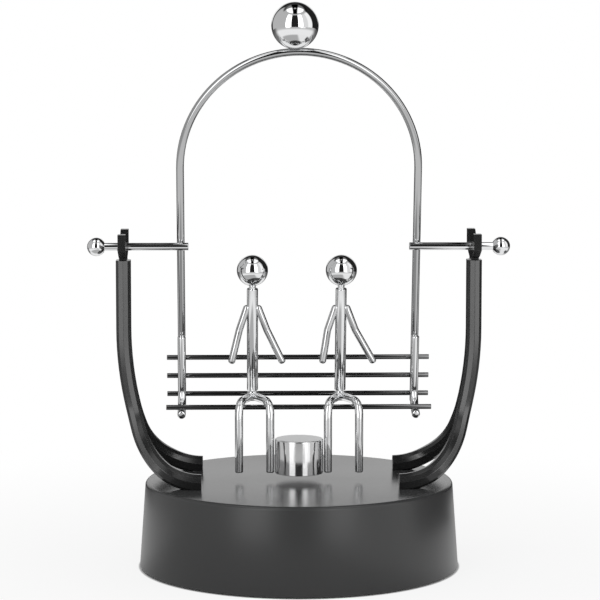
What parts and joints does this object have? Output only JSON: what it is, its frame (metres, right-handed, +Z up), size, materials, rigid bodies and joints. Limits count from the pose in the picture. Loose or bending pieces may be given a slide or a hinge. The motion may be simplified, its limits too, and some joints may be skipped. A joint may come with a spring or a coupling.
{
  "type": "kinetic balance toy",
  "caption": "Desk toy with two wire figures on a bench swing, rocking on an axle between forked supports over a round base.",
  "frame": {"origin": "centre of the underside, on the table", "axes": "+X along the axle, -Y to the viewer, +Z up"},
  "size_m": [0.1646, 0.125, 0.2202],
  "materials": {
    "chrome": "mirror bright chrome plate",
    "base_plastic": "dark grey, satin sides and a glossy top",
    "support_plastic": "near black satin",
    "cover_plastic": "fine matte",
    "knob_plastic": "matte",
    "cell_jacket": "gloss jacket",
    "steel": "zinc plated",
    "board": "satin lacquer",
    "capacitor_sleeve": "gloss sleeve",
    "component_plastic": "matte",
    "bobbin_plastic": "matte",
    "copper": "enamelled copper wire",
    "magnet": "nickel plated",
    "rubber": "matte"
  },
  "bodies": {
    "base": {"base_shell": "base_plastic", "bottom_cover": "cover_plastic", "batteries": "cell_jacket", "contact_plates": "steel", "contact_springs": "steel", "circuit_board": "board", "capacitor": "capacitor_sleeve", "transistor": "component_plastic", "coil_bobbin": "bobbin_plastic", "drive_coil": "copper", "coil_screw": "steel", "switch_body": "component_plastic", "cover_screws": "steel", "support_screws": "steel", "board_screws": "steel", "rubber_feet": "rubber", "left_support": "support_plastic", "right_support": "support_plastic"},
    "door": {"battery_door": "cover_plastic"},
    "power_knob": {"switch_knob": "knob_plastic"},
    "swing": {"arch_wire": "chrome", "top_ball": "chrome", "left_axle_rod": "chrome", "right_axle_rod": "chrome", "left_end_ball": "chrome", "right_end_ball": "chrome", "left_seat_bracket": "chrome", "right_seat_bracket": "chrome", "back_bar_top": "chrome", "back_bar_middle": "chrome", "back_bar_bottom": "chrome", "seat_bar": "chrome", "left_figure_head": "chrome", "left_figure_torso": "chrome", "left_figure_arms": "chrome", "left_figure_legs": "chrome", "right_figure_head": "chrome", "right_figure_torso": "chrome", "right_figure_arms": "chrome", "right_figure_legs": "chrome", "magnet_cup": "chrome", "magnet": "magnet"}
  },
  "joints": [
    {"name": "swing_rock", "type": "hinge", "parent": "base", "child": "swing", "pos_m": [0, 0, 0.1257], "axis": [1, 0, 0], "range_deg": [-45, 45]},
    {"name": "battery_door_hinge", "type": "hinge", "parent": "base", "child": "door", "pos_m": [0, 0.028, 0.0024], "axis": [1, 0, 0], "range_deg": [0, 95]},
    {"name": "power_switch_slide", "type": "slide", "parent": "base", "child": "power_knob", "axis": [0, 1, 0], "range_m": [0, 0.003]}
  ]
}
